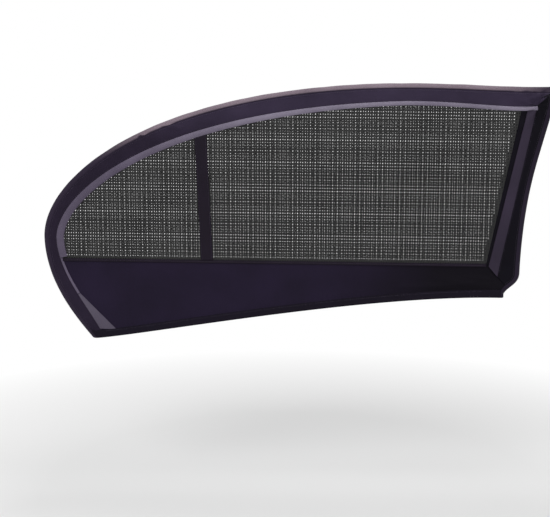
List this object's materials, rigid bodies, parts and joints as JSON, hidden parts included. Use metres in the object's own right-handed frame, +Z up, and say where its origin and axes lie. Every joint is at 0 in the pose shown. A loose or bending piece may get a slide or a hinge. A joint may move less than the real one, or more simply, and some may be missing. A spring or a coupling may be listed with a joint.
{
  "type": "car side window sunshade",
  "caption": "Stretch mesh sock that pulls down over a rear door's window frame, with dark border, trim tape, strap, plain skirt and hemmed open bottom.",
  "frame": {"origin": "below the middle of the whole shade, at the level of its lowest point", "axes": "+X along the shade towards its pointed top corner, -Y towards the cabin, +Z up as it hangs on the door"},
  "size_m": [0.9814, 0.0654, 0.4883],
  "materials": {
    "border_cloth": "dark purple-black stretch knit, matt with a faint sheen",
    "street_cloth": "plain dark stretch knit, matt",
    "edge_cloth": "stretch knit over the rounded edge, catching light",
    "window_mesh": "charcoal see-through knitted mesh, matt",
    "skirt_cloth": "plain dark stretch knit, matt",
    "hem_cloth": "folded and sewn dark hem",
    "elastic": "woven elastic band",
    "trim_tape": "grey-purple rounded trim tape, satin",
    "side_trim_tape": "dark purple rounded trim tape, satin",
    "patch_cloth": "plain grey-purple woven patch",
    "strap_tape": "dark woven tape"
  },
  "bodies": {
    "root": {"front_border_band": "border_cloth", "front_side_band": "border_cloth", "back_border_band": "street_cloth", "back_side_band": "street_cloth", "edge_gusset_top": "edge_cloth", "edge_gusset_side": "edge_cloth", "front_mesh_panel": "window_mesh", "back_mesh_panel": "window_mesh", "front_skirt": "skirt_cloth", "back_skirt": "skirt_cloth", "front_hem_casing": "hem_cloth", "back_hem_casing": "hem_cloth", "front_hem_elastic": "elastic", "back_hem_elastic": "elastic", "trim_tape": "trim_tape", "side_trim_tape": "side_trim_tape", "lower_trim_strip": "trim_tape", "lower_corner_patch": "patch_cloth", "belt_seam_tape": "strap_tape", "divider_strap": "strap_tape"}
  },
  "joints": []
}
